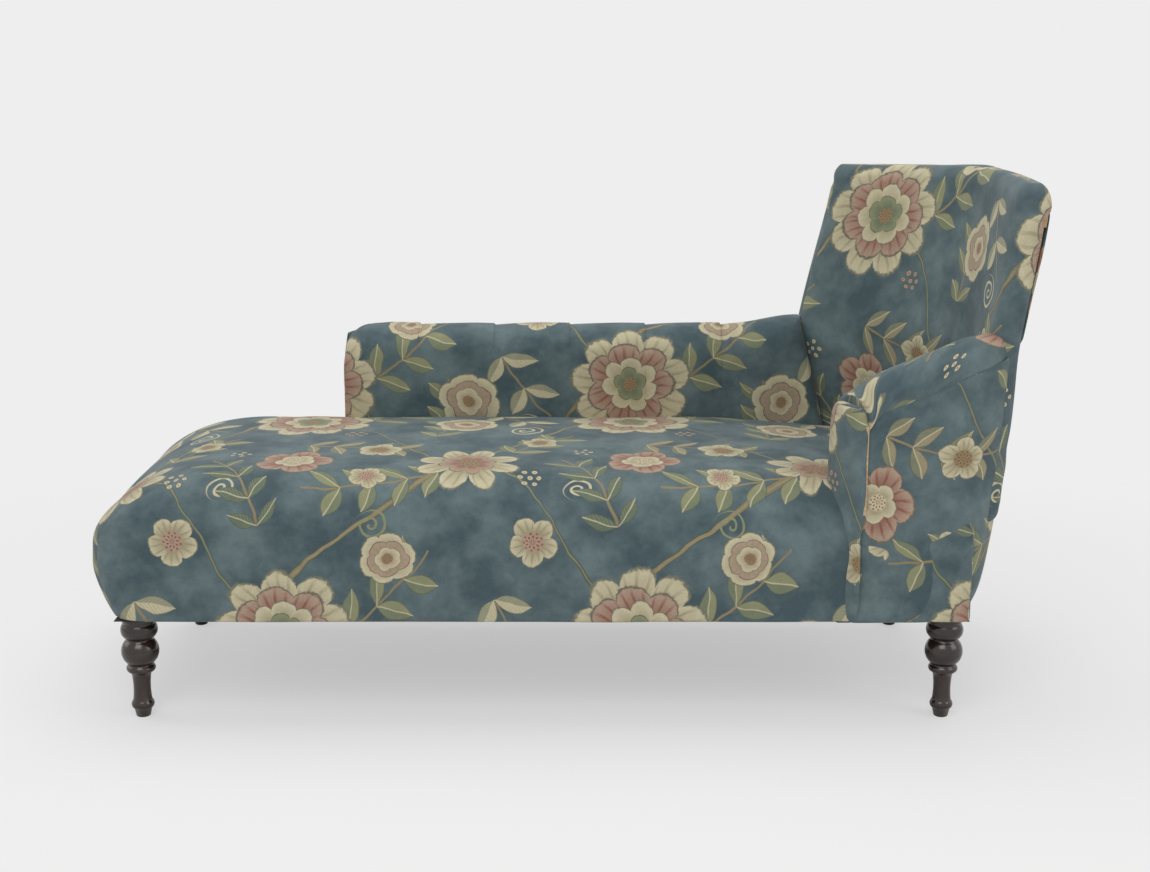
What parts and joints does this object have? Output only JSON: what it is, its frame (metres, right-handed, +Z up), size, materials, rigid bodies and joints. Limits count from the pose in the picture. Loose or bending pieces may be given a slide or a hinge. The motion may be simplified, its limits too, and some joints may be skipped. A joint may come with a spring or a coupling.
{
  "type": "chaise longue",
  "caption": "Upholstered chaise longue with a low back along one side, a tall curved back and short rolled arm at the head end, and turned wooden legs.",
  "frame": {"origin": "on the floor, at the centre of the whole box", "axes": "+X towards the head end with the tall back, +Y towards the low back, +Z up"},
  "size_m": [1.7104, 0.6664, 0.9898],
  "materials": {
    "print_linen": null,
    "leg_wood": "near-black brown gloss lacquer on turned hardwood",
    "frame_timber": "sawn hardwood",
    "plywood": "plywood",
    "spring_steel": "bright spring wire",
    "fixings": "zinc plated steel",
    "glide_plastic": "dark nylon",
    "seat_foam": "cut foam wrapped in wadding",
    "hessian": "coarse jute weave",
    "dust_cloth": "thin black lining cloth"
  },
  "bodies": {
    "root": {"arm_facing": "print_linen", "arm_front_post": "frame_timber", "arm_pad": "print_linen", "arm_rail": "frame_timber", "arm_rear_post": "frame_timber", "block_screws": "fixings", "corner_blocks": "frame_timber", "crest_rail": "frame_timber", "cross_rail_foot": "frame_timber", "cross_rail_head": "frame_timber", "dust_cover": "dust_cloth", "facing_board": "plywood", "floor_glides": "glide_plastic", "foot_end_rail": "frame_timber", "frame_dowels": "frame_timber", "head_end_rail": "frame_timber", "leg_bolts": "fixings", "leg_far_foot": "leg_wood", "leg_far_head": "leg_wood", "leg_near_foot": "leg_wood", "leg_near_head": "leg_wood", "leg_nuts": "fixings", "low_back_outside_panel": "print_linen", "low_back_pad": "print_linen", "low_back_post_foot": "frame_timber", "low_back_post_head": "frame_timber", "low_back_post_middle": "frame_timber", "low_back_top_rail": "frame_timber", "low_back_webbing": "hessian", "outside_arm_panel": "print_linen", "outside_back_panel": "print_linen", "seat_back_rail": "frame_timber", "seat_cover": "print_linen", "seat_foam": "seat_foam", "seat_front_rail": "frame_timber", "seat_springs": "spring_steel", "spring_clips": "spring_steel", "spring_platform": "hessian", "spring_tie_wires": "spring_steel", "stuffing_rails": "frame_timber", "tall_back_pad": "print_linen", "tall_back_post_far": "frame_timber", "tall_back_post_middle": "frame_timber", "tall_back_post_near": "frame_timber", "wing_post": "frame_timber"}
  },
  "joints": []
}
